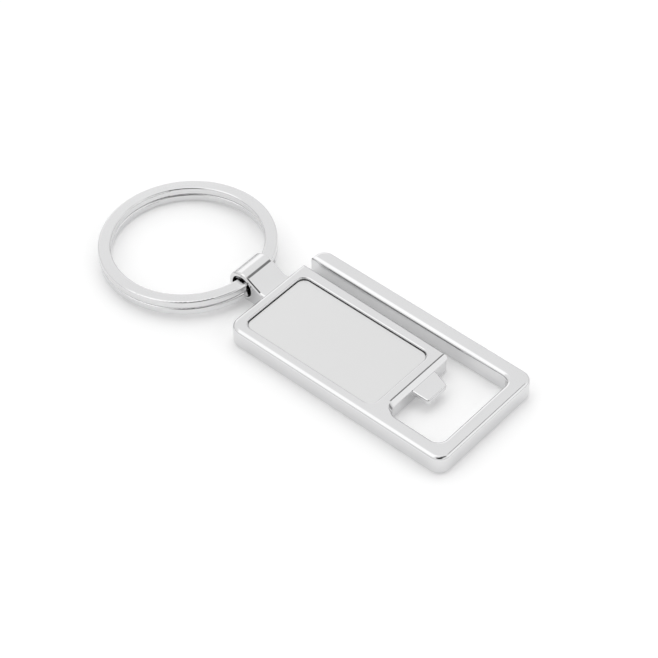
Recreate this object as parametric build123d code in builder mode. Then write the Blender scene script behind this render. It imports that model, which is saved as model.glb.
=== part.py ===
"""Keychain bottle opener: a cast frame with a cap lifter, an inlaid plate and a flat split ring.

Frame: the origin is the middle of the casting's flat underside.  +X points from the key ring
to the opener end, +Y to the free bar and +Z up.  Lengths are in millimetres.
"""
import os
from math import asin, cos, degrees, hypot, pi, radians, sin, sqrt, tan

from build123d import *

os.makedirs("parts", exist_ok=True)

# ---- driving dimensions of the casting -------------------------------------------------
body_length = 47.4
body_width = 25.2
body_thickness = 4.0
near_rail_width = 3.0
end_rail_width = 2.9
bar_width = 3.2
slot_open_width = 2.0
slot_inner_width = 2.45
mouth_length = 11.35
mouth_bevel_width = 0.9
mouth_bevel_depth = 0.9
bevel_break_width = 0.2
bevel_break_depth = 0.08
bevel_inset = 0.05
outer_corner_radius = 2.4
bar_tip_radius = 2.3
plate_corner_radius = 0.8
mouth_corner_radius = 1.8
root_corner_radius = 2.2
top_edge_radius = 0.75
underside_edge_radius = 0.5

# ---- pocket and inlay ------------------------------------------------------------------
near_rim_width = 2.05
far_rim_width = 1.91
ring_rim_width = 1.93
mouth_rim_width = 1.5
pocket_depth = 1.05
pocket_corner_radius = 1.7
pocket_edge_radius = 0.25
inlay_thickness = 0.5
inlay_clearance = 0.12
inlay_edge_chamfer = 0.12
film_thickness = 0.1
film_inset = 0.8

# ---- cap lifter ------------------------------------------------------------------------
lip_top_height = 3.0
lip_thickness = 0.9
lip_root_width = 6.1
lip_tip_width = 4.9
lip_reach = 3.6
lip_from_plate_edge = 3.68
lip_corner_radius = 0.5
lip_edge_radius = 0.25

# ---- lug for the key ring --------------------------------------------------------------
lug_width = 6.6
lug_wall = 0.835
lug_floor = 0.585
lug_reach = 5.1
lug_slope = 29.0
lug_shelf_drop = 0.15
lug_edge_radius = 0.4
hole_edge_radius = 0.15

# ---- split ring ------------------------------------------------------------------------
ring_outer_diameter = 32.0
ring_wire_width = 2.3
ring_wire_height = 1.5
ring_coil_gap = 0.08
ring_wire_corner = 0.35
ring_side_offset = -1.6
ring_clearance = 0.06
ring_step_start = 6.0
ring_step_angle = 16.0
ring_step_sections = 7
ring_end_gap = 1.2

# How far an edge may lie from where a selector looks for it, and a cut runs past a face.
match_tolerance = 0.01
cut_overrun = 0.15

# ---- derived places --------------------------------------------------------------------
half_length = body_length / 2
half_width = body_width / 2
top = body_thickness
mouth_near_y = near_rail_width - half_width
bar_inner_y = half_width - bar_width
plate_far_y = bar_inner_y - slot_inner_width
mouth_end_x = half_length - end_rail_width
plate_end_x = mouth_end_x - mouth_length
plate_top_end_x = plate_end_x - mouth_bevel_width
bevel_low_z = top - mouth_bevel_depth
bevel_top_x = plate_top_end_x + bevel_break_width
bevel_top_z = top - bevel_break_depth
bevel_slope = (plate_end_x - bevel_top_x) / (bevel_top_z - bevel_low_z)
break_slope = bevel_break_width / bevel_break_depth
cut_low_z = bevel_low_z - cut_overrun
cut_low_x = plate_end_x + bevel_slope * cut_overrun
cut_high_z = top + cut_overrun
cut_high_x = plate_top_end_x - break_slope * cut_overrun
bevel_near_y = mouth_near_y + bevel_inset
mouth_middle_x = mouth_end_x - mouth_length / 2
slot_middle_y = plate_far_y + slot_inner_width / 2
lug_hole_x = -half_length - lug_reach

pocket_floor = top - pocket_depth
pocket_length = plate_top_end_x - mouth_rim_width + half_length - ring_rim_width
pocket_width = plate_far_y - far_rim_width + half_width - near_rim_width
pocket_x = -half_length + ring_rim_width + pocket_length / 2
pocket_y = -half_width + near_rim_width + pocket_width / 2
inlay_length = pocket_length - 2 * inlay_clearance
inlay_width = pocket_width - 2 * inlay_clearance
inlay_corner_radius = pocket_corner_radius - inlay_clearance

lip_buried_x = plate_end_x - lip_thickness
lip_tip_x = plate_end_x + lip_reach
lip_near_y = plate_far_y - lip_from_plate_edge - lip_root_width
lip_centre_y = lip_near_y + lip_root_width / 2

# The wire runs through the lug along the hole's axis, with its bow shared evenly about it.
wire_mean_radius = (ring_outer_diameter - ring_wire_width) / 2
lug_far_run = abs(ring_side_offset) + lug_width / 2
wire_near_reach = sqrt(wire_mean_radius**2 - lug_far_run**2)
lug_to_ring_centre = (wire_mean_radius + wire_near_reach) / 2
stack_height = 2 * ring_wire_height + ring_coil_gap

# The hole clears the corners of the two coils where they bow furthest from its axis.
wire_inner_reach = lug_to_ring_centre - sqrt(
    (ring_outer_diameter / 2 - ring_wire_width) ** 2 - lug_far_run**2
)
wire_outer_reach = ring_outer_diameter / 2 - lug_to_ring_centre
wire_corner_x = max(wire_inner_reach, wire_outer_reach) - ring_wire_corner
wire_corner_z = stack_height / 2 - ring_wire_corner
lug_hole_radius = hypot(wire_corner_x, wire_corner_z) + ring_wire_corner + ring_clearance
lug_hole_height = lug_hole_radius + lug_floor
lug_barrel_radius = lug_hole_radius + lug_wall

# The ring leans on the ground at its far side, so it is tilted up to the lug.
ring_tilt = asin(
    (lug_hole_height - stack_height / 2) / (lug_to_ring_centre + ring_outer_diameter / 2)
)
ring_centre = (
    lug_hole_x - lug_to_ring_centre * cos(ring_tilt),
    ring_side_offset,
    lug_hole_height - lug_to_ring_centre * sin(ring_tilt),
)
ring_plane = Plane(
    origin=ring_centre,
    x_dir=(cos(ring_tilt), 0, sin(ring_tilt)),
    z_dir=(-sin(ring_tilt), 0, cos(ring_tilt)),
)
ring_axis = Axis(ring_centre, ring_plane.z_dir)
upper_level = (ring_wire_height + ring_coil_gap) / 2
lower_level = -upper_level
end_gap_angle = degrees(ring_end_gap / wire_mean_radius)
step_stop = ring_step_start + ring_step_angle
coil_sweep = 360 - ring_step_angle - end_gap_angle


def corner(sketch, x, y):
    """The sketch corner nearest to (x, y)."""
    return sketch.vertices().sort_by_distance((x, y, 0))[0]


def bevel_outline(wall_x):
    """The outline of the bevel's cut at the height where it meets the plate at wall_x."""
    with BuildSketch(mode=Mode.PRIVATE) as cut:
        with BuildLine():
            Polyline(
                (wall_x, slot_middle_y),
                (wall_x, bevel_near_y),
                (mouth_middle_x, bevel_near_y),
                (mouth_middle_x, slot_middle_y),
                close=True,
            )
        make_face()
        fillet(corner(cut, wall_x, bevel_near_y), root_corner_radius)
    return cut.sketch


def ring_section(angle, level):
    """The plane across the wire at an angle round the ring, raised by level."""
    outward = Vector(cos(radians(angle)), sin(radians(angle)), 0)
    along = Vector(-sin(radians(angle)), cos(radians(angle)), 0)
    place = outward * wire_mean_radius + Vector(0, 0, level)
    return Plane(
        origin=ring_plane.from_local_coords(place),
        x_dir=ring_plane.from_local_coords(outward) - ring_plane.origin,
        z_dir=ring_plane.from_local_coords(along) - ring_plane.origin,
    )


# ---- cast frame ------------------------------------------------------------------------
# The lug is a barrel whose top runs down in a flat slope to the frame's end wall.
slope_angle = radians(90 - lug_slope)
slope_x = lug_hole_x + lug_barrel_radius * cos(slope_angle)
slope_z = lug_hole_height + lug_barrel_radius * sin(slope_angle)
lug_root_x = -half_length + top_edge_radius
shelf_z = top - lug_shelf_drop
shelf_x = slope_x + (slope_z - shelf_z) / tan(radians(lug_slope))

with BuildPart() as lug:
    with BuildSketch(Plane.XZ.offset(-lug_width / 2)) as lug_profile:
        with Locations((lug_hole_x, lug_hole_height)):
            Circle(lug_barrel_radius)
        with BuildLine():
            Polyline(
                (slope_x, slope_z),
                (shelf_x, shelf_z),
                (lug_root_x, shelf_z),
                (lug_root_x, 0),
                (lug_hole_x, 0),
                (lug_hole_x, lug_hole_height),
                close=True,
            )
        make_face()
    extrude(amount=lug_width)
    split(bisect_by=Plane.XY, keep=Keep.TOP)
    lug_ends = lug.edges().filter_by(Plane.XZ)
    fillet(lug_ends, lug_edge_radius)
    with Locations(Plane.XZ.offset(-lug_width)):
        with Locations((lug_hole_x, lug_hole_height)):
            Hole(lug_hole_radius)
    hole_rims = lug.edges().filter_by(GeomType.CIRCLE).filter_by(
        lambda edge: abs(edge.radius - lug_hole_radius) < match_tolerance
    )
    fillet(hole_rims, hole_edge_radius)

with BuildPart() as opener_frame:
    with BuildSketch(Plane.XY) as outline:
        Rectangle(body_length, body_width)
        fillet(corner(outline, -half_length, -half_width), outer_corner_radius)
        fillet(corner(outline, half_length, -half_width), outer_corner_radius)
        fillet(corner(outline, half_length, half_width), outer_corner_radius)
        fillet(corner(outline, -half_length, half_width), bar_tip_radius)
    extrude(amount=body_thickness)

    # The mouth and the slot are one opening.
    with BuildSketch(Plane.XY) as opening:
        with BuildLine():
            Polyline(
                (-half_length, bar_inner_y),
                (-half_length, bar_inner_y - slot_open_width),
                (plate_end_x, plate_far_y),
                (plate_end_x, mouth_near_y),
                (mouth_end_x, mouth_near_y),
                (mouth_end_x, bar_inner_y),
                close=True,
            )
        make_face()
        fillet(corner(opening, mouth_end_x, mouth_near_y), mouth_corner_radius)
        fillet(corner(opening, mouth_end_x, bar_inner_y), mouth_corner_radius)
        fillet(corner(opening, plate_end_x, mouth_near_y), root_corner_radius)
        fillet(corner(opening, plate_end_x, plate_far_y), plate_corner_radius)
    extrude(amount=body_thickness, mode=Mode.SUBTRACT)
    fillet(opener_frame.faces().sort_by(Axis.Z)[-1].edges(), top_edge_radius)
    fillet(opener_frame.faces().sort_by(Axis.Z)[0].edges(), underside_edge_radius)

    # The plate's end wall has a wide bevel, whose top edge is broken by a fine one.  The cut
    # starts below the bevel and ends above the plate, each along its own slope.
    for low_z, low_x, high_z, high_x in (
        (cut_low_z, cut_low_x, bevel_top_z, bevel_top_x),
        (bevel_top_z, bevel_top_x, cut_high_z, cut_high_x),
    ):
        with BuildSketch(Plane.XY.offset(low_z)):
            add(bevel_outline(low_x))
        with BuildSketch(Plane.XY.offset(high_z)):
            add(bevel_outline(high_x))
        loft(ruled=True, mode=Mode.SUBTRACT)

    with BuildSketch(Plane.XY.offset(lip_top_height - lip_thickness)) as lip_outline:
        with BuildLine():
            Polyline(
                (lip_buried_x, lip_near_y),
                (lip_tip_x, lip_near_y),
                (lip_tip_x, lip_near_y + lip_tip_width),
                (plate_end_x, lip_near_y + lip_root_width),
                (lip_buried_x, lip_near_y + lip_root_width),
                close=True,
            )
        make_face()
        fillet(corner(lip_outline, lip_tip_x, lip_near_y), lip_corner_radius)
        fillet(corner(lip_outline, lip_tip_x, lip_near_y + lip_tip_width), lip_corner_radius)
    extrude(amount=lip_thickness)
    tip_rim = opener_frame.edges().filter_by(
        lambda edge: edge.center().X > plate_end_x + lip_edge_radius
        and edge.center().X < lip_tip_x + lip_edge_radius
        and abs(edge.center().Y - lip_centre_y) < lip_root_width / 2
        and abs(edge.center().Z - lip_top_height) < match_tolerance
    )
    fillet(tip_rim, lip_edge_radius)

    add(lug.part)

    # Pocket for the inlay, open at the top and closed all round by the rim.
    with BuildSketch(Plane.XY.offset(pocket_floor)):
        with Locations((pocket_x, pocket_y)):
            RectangleRounded(pocket_length, pocket_width, pocket_corner_radius)
    extrude(amount=pocket_depth, mode=Mode.SUBTRACT)
    pocket_rim = opener_frame.edges().filter_by(
        lambda edge: edge.center().Z > top - match_tolerance
        and abs(edge.center().X - pocket_x) < pocket_length / 2 + match_tolerance
        and abs(edge.center().Y - pocket_y) < pocket_width / 2 + match_tolerance
    )
    fillet(pocket_rim, pocket_edge_radius)

opener_frame.part.label = "opener_frame"
export_step(opener_frame.part, "parts/opener_frame.step")

# ---- inlay and its adhesive film -------------------------------------------------------
with BuildPart() as adhesive_film:
    with BuildSketch(Plane.XY.offset(pocket_floor)):
        with Locations((pocket_x, pocket_y)):
            RectangleRounded(
                inlay_length - 2 * film_inset,
                inlay_width - 2 * film_inset,
                inlay_corner_radius - film_inset,
            )
    extrude(amount=film_thickness)

adhesive_film.part.label = "adhesive_film"
export_step(adhesive_film.part, "parts/adhesive_film.step")

with BuildPart() as inlay_plate:
    with BuildSketch(Plane.XY.offset(pocket_floor + film_thickness)):
        with Locations((pocket_x, pocket_y)):
            RectangleRounded(inlay_length, inlay_width, inlay_corner_radius)
    extrude(amount=inlay_thickness)
    chamfer(inlay_plate.faces().sort_by(Axis.Z)[-1].edges(), inlay_edge_chamfer)

inlay_plate.part.label = "inlay_plate"
export_step(inlay_plate.part, "parts/inlay_plate.step")

# ---- split ring ------------------------------------------------------------------------
# One flat wire makes two turns.  It runs round the lower level, climbs a short step and runs
# round the upper level, so its two ends stop on either side of the step.
with BuildPart() as split_ring:
    for level, start in ((lower_level, step_stop + end_gap_angle), (upper_level, step_stop)):
        with BuildSketch(ring_section(start, level)):
            RectangleRounded(ring_wire_width, ring_wire_height, ring_wire_corner)
        revolve(axis=ring_axis, revolution_arc=coil_sweep)
    for index in range(ring_step_sections):
        share = index / (ring_step_sections - 1)
        rise = -upper_level * cos(pi * share)
        with BuildSketch(ring_section(ring_step_start + ring_step_angle * share, rise)):
            RectangleRounded(ring_wire_width, ring_wire_height, ring_wire_corner)
    loft()

split_ring.part.label = "split_ring"
export_step(split_ring.part, "parts/split_ring.step")
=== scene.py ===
"""Keychain bottle opener: the finishes, floor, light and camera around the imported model.

Everything is in metres in the model's own frame: the casting's underside is z = 0, +X runs
from the key ring to the opener end, +Y to the free bar and +Z up.
"""
import math

import bpy
from bpy.props import FloatProperty, FloatVectorProperty, PointerProperty
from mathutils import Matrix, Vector


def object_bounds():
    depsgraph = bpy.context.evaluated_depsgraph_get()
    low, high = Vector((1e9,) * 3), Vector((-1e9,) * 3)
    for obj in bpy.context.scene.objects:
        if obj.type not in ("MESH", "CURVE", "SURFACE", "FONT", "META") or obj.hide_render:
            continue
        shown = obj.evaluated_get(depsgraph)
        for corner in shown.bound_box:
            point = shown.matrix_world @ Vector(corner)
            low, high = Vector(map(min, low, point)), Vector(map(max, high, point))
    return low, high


bl_info = {
    "name": "Keychain Bottle Opener",
    "version": (1, 0, 0),
    "blender": (4, 5, 0),
    "location": "View3D > Sidebar > Opener",
    "description": "Finishes a plated keychain bottle opener and sets it on a lit studio floor",
    "category": "Object",
}

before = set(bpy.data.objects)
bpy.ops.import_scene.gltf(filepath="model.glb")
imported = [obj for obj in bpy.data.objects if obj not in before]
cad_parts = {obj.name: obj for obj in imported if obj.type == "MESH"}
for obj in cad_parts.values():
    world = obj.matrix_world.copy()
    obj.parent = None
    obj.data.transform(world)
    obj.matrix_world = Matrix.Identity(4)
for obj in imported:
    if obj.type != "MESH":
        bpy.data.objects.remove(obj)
CAD_LOW, CAD_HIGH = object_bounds()
MILLIMETRE = 0.001

# Fine marks in the finishes, each (size, stretch, detail, depth).
EVEN = (1.0, 1.0, 1.0)
RIPPLE_DETAIL = 1.0
RIPPLE_DEPTH = 0.004 * MILLIMETRE
CASTING_MARKS = (0.35 * MILLIMETRE, EVEN, 3.0, 0.0004 * MILLIMETRE)
GRAIN_STRETCH = (30.0, 1.0, 1.0)
GRAIN_DETAIL = 2.0
GRAIN_DEPTH = 0.0006 * MILLIMETRE
INLAY_MARKS = (0.15 * MILLIMETRE, EVEN, 4.0, 0.0006 * MILLIMETRE)
WIRE_RIPPLE = (3.0 * MILLIMETRE, EVEN, 1.0, 0.004 * MILLIMETRE)
WIRE_MARKS = (0.2 * MILLIMETRE, EVEN, 3.0, 0.0006 * MILLIMETRE)
SMUDGE_SIZE = 8.0 * MILLIMETRE
WIPE_SIZE = 2.5 * MILLIMETRE
WIPE_STRETCH = (3.0, 1.0, 1.0)
WIPE_DETAIL = 5.0
FILM_CLOUD_SIZE = 1.5 * MILLIMETRE
FILM_DEPTH = 0.01 * MILLIMETRE
FILM_ROUGHNESS = (0.5, 0.8)
PAPER_GRAIN_SIZE = 4.0 * MILLIMETRE

# Parts of the studio that the metal reflects.  Each is (direction, start, stop, low, high), and
# changes from low to high as a view turns to the direction and its cosine goes from start to stop.
UP = (0.0, 0.0, 1.0)
ROOM = (UP, 0.05, 0.5, 0.84, 0.98)
HORIZON_SHADE = (UP, 0.02, 0.14, 0.55, 1.0)
LONG_LAMP = (
    ((1.0, 0.0, 0.0), -0.62, -0.46, 0.0, 1.0),
    ((1.0, 0.0, 0.0), -0.02, -0.18, 0.0, 1.0),
    ((0.0, 1.0, 0.0), 0.50, 0.0, 0.0, 1.0),
    ((0.0, 1.0, 0.0), -0.92, -0.66, 0.0, 1.0),
    (UP, 0.0, 0.2, 0.0, 0.36),
)
BRIGHT_WALLS = (
    ((-0.76, 0.56, 0.33), 0.92, 0.985, 0.0, 0.30),
    ((0.73, 0.52, 0.45), 0.88, 0.98, 0.0, 0.16),
)
DARK_GAP = (
    ((0.45, -0.52, 0.73), 0.90, 0.965, 1.0, 0.04),
    ((0.42, 0.0, 0.90), 0.94, 0.985, 1.0, 0.10),
    ((0.19, 0.52, 0.835), 0.9925, 0.998, 1.0, 0.25),
)
CAMERA_NEAR = 0.01
CAMERA_FAR = 10.0


# ---- settings --------------------------------------------------------------------------
class OpenerFinishes(bpy.types.PropertyGroup):
    """Colours and surface sizes of the four finishes."""

    chrome_colour: FloatVectorProperty(
        name="Chrome colour",
        description="Colour of the plated casting",
        subtype="COLOR",
        min=0.0,
        max=1.0,
        default=(0.74, 0.74, 0.745),
    )
    chrome_roughness: FloatProperty(
        name="Chrome roughness",
        description="Mean roughness of the plated casting",
        min=0.0,
        max=1.0,
        default=0.06,
    )
    polish_ripple: FloatProperty(
        name="Polish ripple",
        description="Length of the slow waves that buffing leaves under the plating",
        subtype="DISTANCE",
        unit="LENGTH",
        default=5.0 * MILLIMETRE,
    )
    inlay_colour: FloatVectorProperty(
        name="Inlay colour",
        description="Colour of the satin plate in the pocket",
        subtype="COLOR",
        min=0.0,
        max=1.0,
        default=(0.74, 0.74, 0.74),
    )
    inlay_roughness: FloatProperty(
        name="Inlay roughness",
        description="Mean roughness of the satin plate",
        min=0.0,
        max=1.0,
        default=0.34,
    )
    inlay_grain: FloatProperty(
        name="Inlay grain",
        description="Width of one line of the plate's fine grain",
        subtype="DISTANCE",
        unit="LENGTH",
        default=0.06 * MILLIMETRE,
    )
    wire_colour: FloatVectorProperty(
        name="Wire colour",
        description="Colour of the plated ring wire",
        subtype="COLOR",
        min=0.0,
        max=1.0,
        default=(0.73, 0.73, 0.735),
    )
    wire_roughness: FloatProperty(
        name="Wire roughness",
        description="Mean roughness of the ring wire",
        min=0.0,
        max=1.0,
        default=0.12,
    )
    film_colour: FloatVectorProperty(
        name="Film colour",
        description="Colour of the adhesive under the plate",
        subtype="COLOR",
        min=0.0,
        max=1.0,
        default=(0.72, 0.70, 0.62),
    )


class OpenerStudio(bpy.types.PropertyGroup):
    """Floor, lamp and camera."""

    floor_colour: FloatVectorProperty(
        name="Floor colour",
        description="Colour of the studio floor",
        subtype="COLOR",
        min=0.0,
        max=1.0,
        default=(0.90, 0.90, 0.90),
    )
    floor_size: FloatProperty(
        name="Floor size",
        description="Length of the square floor's side",
        subtype="DISTANCE",
        unit="LENGTH",
        default=4.0,
    )
    floor_lift: FloatProperty(
        name="Floor lift",
        description="Light that the floor adds where the camera or the metal sees it",
        min=0.0,
        default=0.17,
    )
    lamp_size: FloatProperty(
        name="Lamp size",
        description="Length of the square lamp's side",
        subtype="DISTANCE",
        unit="LENGTH",
        default=0.4,
    )
    lamp_power: FloatProperty(
        name="Lamp power",
        description="Power of the lamp in watts",
        min=0.0,
        default=0.6,
    )
    lamp_azimuth: FloatProperty(
        name="Lamp azimuth",
        description="Turn of the lamp round the opener, from the near side to the opener end",
        subtype="ANGLE",
        unit="ROTATION",
        default=math.radians(190.0),
    )
    lamp_elevation: FloatProperty(
        name="Lamp elevation",
        description="Height of the lamp above the horizon",
        subtype="ANGLE",
        unit="ROTATION",
        default=math.radians(72.0),
    )
    lamp_distance: FloatProperty(
        name="Lamp distance",
        description="From the lamp to the middle of the opener",
        subtype="DISTANCE",
        unit="LENGTH",
        default=0.7,
    )
    camera_distance: FloatProperty(
        name="Camera distance",
        description="From the camera to the point it looks at",
        subtype="DISTANCE",
        unit="LENGTH",
        default=0.4102,
    )
    camera_azimuth: FloatProperty(
        name="Camera azimuth",
        description="Turn of the camera round the opener, from the near side to the opener end",
        subtype="ANGLE",
        unit="ROTATION",
        default=math.radians(40.93),
    )
    camera_elevation: FloatProperty(
        name="Camera elevation",
        description="Height of the camera above the horizon",
        subtype="ANGLE",
        unit="ROTATION",
        default=math.radians(46.56),
    )
    camera_lens: FloatProperty(
        name="Camera lens",
        description="Focal length in millimetres on a 36 mm sensor",
        default=129.4,
    )
    camera_target: FloatVectorProperty(
        name="Camera target",
        description="Point on the floor that the camera looks at",
        subtype="TRANSLATION",
        unit="LENGTH",
        default=(-0.0123, 0.0010, 0.0),
    )


# ---- shader helpers --------------------------------------------------------------------
def fresh_tree(owner):
    """The emptied node tree of a material or world."""
    owner.use_nodes = True
    owner.node_tree.nodes.clear()
    return owner.node_tree


def add_node(tree, kind, **values):
    """A new node with its properties, or its inputs by name, set from values."""
    node = tree.nodes.new(kind)
    for key, value in values.items():
        if hasattr(node, key):
            setattr(node, key, value)
        else:
            node.inputs[key.replace("_", " ").title()].default_value = value
    return node


def stretched_noise(tree, size, stretch=(1.0, 1.0, 1.0), detail=3.0):
    """Noise whose features are about size metres long, longer along an axis with stretch over 1."""
    place = add_node(tree, "ShaderNodeTexCoord")
    mapping = add_node(tree, "ShaderNodeMapping")
    mapping.inputs["Scale"].default_value = [1.0 / value for value in stretch]
    noise = add_node(tree, "ShaderNodeTexNoise", scale=1.0 / size, detail=detail)
    tree.links.new(place.outputs["Object"], mapping.inputs["Vector"])
    tree.links.new(mapping.outputs["Vector"], noise.inputs["Vector"])
    return noise.outputs["Fac"]


def spread(tree, source, low, high, start=0.3, stop=0.7):
    """Source, a value from 0 to 1, taken from start to stop and spread from low to high."""
    node = add_node(tree, "ShaderNodeMapRange")
    node.inputs["From Min"].default_value = start
    node.inputs["From Max"].default_value = stop
    node.inputs["To Min"].default_value = low
    node.inputs["To Max"].default_value = high
    tree.links.new(source, node.inputs["Value"])
    return node.outputs["Result"]


def tint(tree, source, colour, change):
    """The colour made up to change lighter and darker by source."""
    node = add_node(tree, "ShaderNodeMix", data_type="RGBA")
    low = [max(0.0, channel - change) for channel in colour]
    high = [min(1.0, channel + change) for channel in colour]
    # The mix node has a set of sockets for each data type, so its colour ones go by number.
    factor, colour_a, colour_b = (node.inputs[index] for index in (0, 6, 7))
    colour_a.default_value = (*low, 1.0)
    colour_b.default_value = (*high, 1.0)
    tree.links.new(source, factor)
    return node.outputs[2]


def bumped(tree, layers):
    """The normal after a chain of bumps, each (height source, depth in metres)."""
    normal = None
    for source, depth in layers:
        bump = add_node(tree, "ShaderNodeBump", strength=1.0, distance=depth)
        tree.links.new(source, bump.inputs["Height"])
        if normal is not None:
            tree.links.new(normal, bump.inputs["Normal"])
        normal = bump.outputs["Normal"]
    return normal


def metal(name, colour, roughness, marks, change=0.02, rough_change=0.03):
    """A metal with slow changes of tone and roughness, and bumps from the marks."""
    material = bpy.data.materials.new(name)
    tree = fresh_tree(material)
    shader = add_node(tree, "ShaderNodeBsdfPrincipled")
    output = add_node(tree, "ShaderNodeOutputMaterial")
    shader.inputs["Metallic"].default_value = 1.0
    cloud = stretched_noise(tree, SMUDGE_SIZE)
    tree.links.new(tint(tree, cloud, colour, change), shader.inputs["Base Color"])
    wipe = stretched_noise(tree, WIPE_SIZE, WIPE_STRETCH, WIPE_DETAIL)
    rough = spread(tree, wipe, roughness - rough_change, roughness + rough_change)
    tree.links.new(rough, shader.inputs["Roughness"])
    layers = []
    for size, stretch, detail, depth in marks:
        layers.append((stretched_noise(tree, size, stretch, detail), depth))
    tree.links.new(bumped(tree, layers), shader.inputs["Normal"])
    tree.links.new(shader.outputs["BSDF"], output.inputs["Surface"])
    return material


def give_finish(node, material):
    """Puts the material in every slot of a CAD node."""
    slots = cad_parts[node].data.materials
    for index in range(len(slots)):
        slots[index] = material


# ---- pieces ----------------------------------------------------------------------------
class OPENER_OT_finish_casting(bpy.types.Operator):
    """Plate the cast frame, its lug and its lip in bright chrome"""

    bl_idname = "opener.finish_casting"
    bl_label = "Finish Casting"

    def execute(self, context):
        look = context.scene.opener_finishes
        chrome = metal(
            "bright_chrome",
            look.chrome_colour,
            look.chrome_roughness,
            [(look.polish_ripple, EVEN, RIPPLE_DETAIL, RIPPLE_DEPTH), CASTING_MARKS],
        )
        give_finish("opener_frame", chrome)
        return {"FINISHED"}


class OPENER_OT_finish_inlay(bpy.types.Operator):
    """Give the inlaid plate its fine satin grain"""

    bl_idname = "opener.finish_inlay"
    bl_label = "Finish Inlay"

    def execute(self, context):
        look = context.scene.opener_finishes
        satin = metal(
            "satin_aluminium",
            look.inlay_colour,
            look.inlay_roughness,
            [(look.inlay_grain, GRAIN_STRETCH, GRAIN_DETAIL, GRAIN_DEPTH), INLAY_MARKS],
            change=0.008,
            rough_change=0.02,
        )
        give_finish("inlay_plate", satin)
        return {"FINISHED"}


class OPENER_OT_finish_film(bpy.types.Operator):
    """Give the adhesive under the plate its dull pale colour"""

    bl_idname = "opener.finish_film"
    bl_label = "Finish Film"

    def execute(self, context):
        look = context.scene.opener_finishes
        material = bpy.data.materials.new("transfer_adhesive")
        tree = fresh_tree(material)
        shader = add_node(tree, "ShaderNodeBsdfPrincipled")
        output = add_node(tree, "ShaderNodeOutputMaterial")
        cloud = stretched_noise(tree, FILM_CLOUD_SIZE)
        tree.links.new(tint(tree, cloud, look.film_colour, 0.04), shader.inputs["Base Color"])
        tree.links.new(spread(tree, cloud, *FILM_ROUGHNESS), shader.inputs["Roughness"])
        tree.links.new(bumped(tree, [(cloud, FILM_DEPTH)]), shader.inputs["Normal"])
        tree.links.new(shader.outputs["BSDF"], output.inputs["Surface"])
        give_finish("adhesive_film", material)
        return {"FINISHED"}


class OPENER_OT_finish_ring(bpy.types.Operator):
    """Plate the flat wire of the split ring"""

    bl_idname = "opener.finish_ring"
    bl_label = "Finish Ring"

    def execute(self, context):
        look = context.scene.opener_finishes
        nickel = metal(
            "plated_wire",
            look.wire_colour,
            look.wire_roughness,
            [WIRE_RIPPLE, WIRE_MARKS],
        )
        give_finish("split_ring", nickel)
        return {"FINISHED"}


# ---- stage -----------------------------------------------------------------------------
def place_facing(thing, target, azimuth, elevation, distance):
    """Stands a lamp or camera at a bearing from the target and turns it to face there."""
    back = Vector((
        math.sin(azimuth) * math.cos(elevation),
        -math.cos(azimuth) * math.cos(elevation),
        math.sin(elevation),
    ))
    thing.location = Vector(target) + back * distance
    thing.rotation_euler = back.to_track_quat("Z", "Y").to_euler()


def studio_part(tree, view, part):
    """The value of one part of the studio along a unit view vector."""
    direction, start, stop, low, high = part
    cosine = add_node(tree, "ShaderNodeVectorMath", operation="DOT_PRODUCT")
    tree.links.new(view, cosine.inputs[0])
    cosine.inputs[1].default_value = Vector(direction).normalized()
    step = add_node(tree, "ShaderNodeMapRange", interpolation_type="SMOOTHSTEP")
    for name, value in (("From Min", start), ("From Max", stop), ("To Min", low), ("To Max", high)):
        step.inputs[name].default_value = value
    tree.links.new(cosine.outputs["Value"], step.inputs["Value"])
    return step.outputs["Result"]


def joined(tree, operation, sources):
    """All the values added or multiplied together."""
    result = sources[0]
    for source in sources[1:]:
        node = add_node(tree, "ShaderNodeMath", operation=operation)
        tree.links.new(result, node.inputs[0])
        tree.links.new(source, node.inputs[1])
        result = node.outputs["Value"]
    return result


def sky(world):
    """The studio round the object: white to the camera, and for the metal a pale room with a
    long lamp overhead, bright walls and the dark gap that the camera stands in."""
    tree = fresh_tree(world)
    view = add_node(tree, "ShaderNodeTexCoord").outputs["Generated"]
    long_lamp = joined(tree, "MULTIPLY", [studio_part(tree, view, side) for side in LONG_LAMP])
    walls = [studio_part(tree, view, wall) for wall in BRIGHT_WALLS]
    shades = [studio_part(tree, view, shade) for shade in (HORIZON_SHADE, *DARK_GAP)]
    lit = joined(tree, "ADD", [studio_part(tree, view, ROOM), long_lamp, *walls])
    light = joined(tree, "MULTIPLY", [lit, *shades])
    around = add_node(tree, "ShaderNodeBackground", strength=1.0)
    tree.links.new(light, around.inputs["Color"])
    white = add_node(tree, "ShaderNodeBackground", strength=1.0)
    white.inputs["Color"].default_value = (1.0, 1.0, 1.0, 1.0)
    ray = add_node(tree, "ShaderNodeLightPath")
    choice = add_node(tree, "ShaderNodeMixShader")
    output = add_node(tree, "ShaderNodeOutputWorld")
    tree.links.new(ray.outputs["Is Camera Ray"], choice.inputs["Fac"])
    tree.links.new(around.outputs["Background"], choice.inputs[1])
    tree.links.new(white.outputs["Background"], choice.inputs[2])
    tree.links.new(choice.outputs["Shader"], output.inputs["Surface"])


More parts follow.
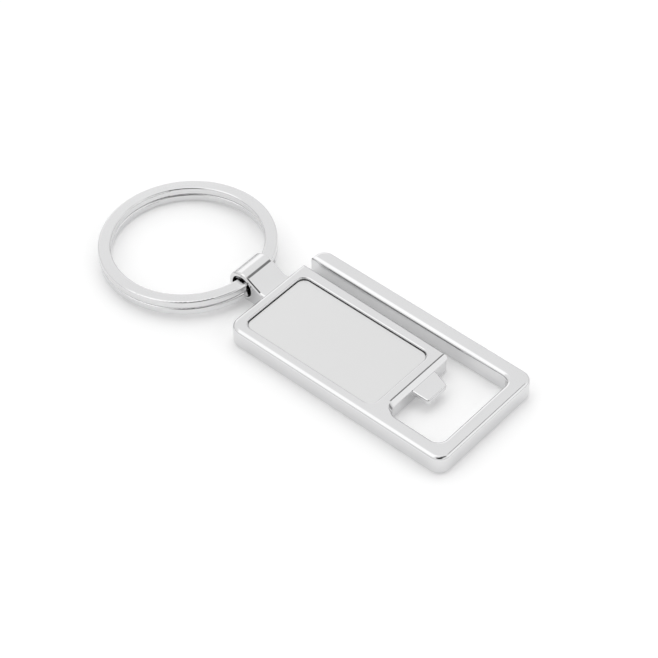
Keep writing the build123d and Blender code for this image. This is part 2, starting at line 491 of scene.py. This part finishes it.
def floor_finish(colour, lift_strength):
    """Matte pale paper that the camera and the metal see a shade lighter than it is lit."""
    material = bpy.data.materials.new("studio_paper")
    tree = fresh_tree(material)
    paper = add_node(tree, "ShaderNodeBsdfDiffuse")
    grain = stretched_noise(tree, PAPER_GRAIN_SIZE)
    tree.links.new(tint(tree, grain, colour, 0.004), paper.inputs["Color"])
    lift = add_node(tree, "ShaderNodeEmission", strength=lift_strength)
    ray = add_node(tree, "ShaderNodeLightPath")
    seen = add_node(tree, "ShaderNodeMath", operation="MAXIMUM")
    shown = add_node(tree, "ShaderNodeMixShader")
    both = add_node(tree, "ShaderNodeAddShader")
    output = add_node(tree, "ShaderNodeOutputMaterial")
    tree.links.new(paper.outputs["BSDF"], both.inputs[0])
    tree.links.new(lift.outputs["Emission"], both.inputs[1])
    tree.links.new(ray.outputs["Is Camera Ray"], seen.inputs[0])
    tree.links.new(ray.outputs["Is Glossy Ray"], seen.inputs[1])
    tree.links.new(seen.outputs["Value"], shown.inputs["Fac"])
    tree.links.new(paper.outputs["BSDF"], shown.inputs[1])
    tree.links.new(both.outputs["Shader"], shown.inputs[2])
    tree.links.new(shown.outputs["Shader"], output.inputs["Surface"])
    return material


def softbox(name, studio):
    """A square area lamp over the opener, which neither the camera nor the metal sees."""
    bpy.ops.object.light_add(type="AREA")
    lamp = bpy.context.object
    lamp.name = name
    lamp.data.shape = "SQUARE"
    lamp.data.size = studio.lamp_size
    lamp.data.energy = studio.lamp_power
    lamp.visible_camera = False
    lamp.visible_glossy = False
    middle = (0.0, 0.0, 0.0)
    place_facing(lamp, middle, studio.lamp_azimuth, studio.lamp_elevation, studio.lamp_distance)


class OPENER_OT_stage(bpy.types.Operator):
    """Lay the floor, hang the lamp and stand the camera"""

    bl_idname = "opener.stage"
    bl_label = "Set Stage"

    def execute(self, context):
        studio = context.scene.opener_studio
        bpy.ops.object.select_all(action="DESELECT")
        bpy.ops.mesh.primitive_plane_add(size=studio.floor_size, location=(0.0, 0.0, CAD_LOW.z))
        floor = context.object
        floor.name = "studio_floor"
        bpy.ops.object.transform_apply(location=True, rotation=False, scale=False)
        floor.data.materials.append(floor_finish(studio.floor_colour, studio.floor_lift))

        world = bpy.data.worlds.new("studio_sky")
        context.scene.world = world
        sky(world)
        softbox("top_softbox", studio)

        bpy.ops.object.camera_add()
        camera = context.object
        camera.name = "studio_camera"
        camera.data.lens = studio.camera_lens
        camera.data.clip_start = CAMERA_NEAR
        camera.data.clip_end = CAMERA_FAR
        place_facing(
            camera, studio.camera_target, studio.camera_azimuth, studio.camera_elevation,
            studio.camera_distance,
        )
        context.scene.camera = camera
        context.scene.view_settings.view_transform = "Standard"
        return {"FINISHED"}


class OPENER_PT_panel(bpy.types.Panel):
    """Lists the opener's finishes and stage"""

    bl_idname = "OPENER_PT_panel"
    bl_label = "Keychain Bottle Opener"
    bl_space_type = "VIEW_3D"
    bl_region_type = "UI"
    bl_category = "Opener"

    def draw(self, context):
        for group in (context.scene.opener_finishes, context.scene.opener_studio):
            box = self.layout.box()
            for name in group.__annotations__:
                box.prop(group, name)
        for step in STEPS:
            self.layout.operator(step.bl_idname)


STEPS = (
    OPENER_OT_finish_casting,
    OPENER_OT_finish_inlay,
    OPENER_OT_finish_film,
    OPENER_OT_finish_ring,
    OPENER_OT_stage,
)
CLASSES = (OpenerFinishes, OpenerStudio, *STEPS, OPENER_PT_panel)


def register():
    for cls in CLASSES:
        bpy.utils.register_class(cls)
    bpy.types.Scene.opener_finishes = PointerProperty(type=OpenerFinishes)
    bpy.types.Scene.opener_studio = PointerProperty(type=OpenerStudio)


def unregister():
    del bpy.types.Scene.opener_studio
    del bpy.types.Scene.opener_finishes
    for cls in reversed(CLASSES):
        bpy.utils.unregister_class(cls)


def main():
    register()
    bpy.ops.opener.finish_casting()
    bpy.ops.opener.finish_inlay()
    bpy.ops.opener.finish_film()
    bpy.ops.opener.finish_ring()
    bpy.ops.opener.stage()


if __name__ == "__main__":
    main()
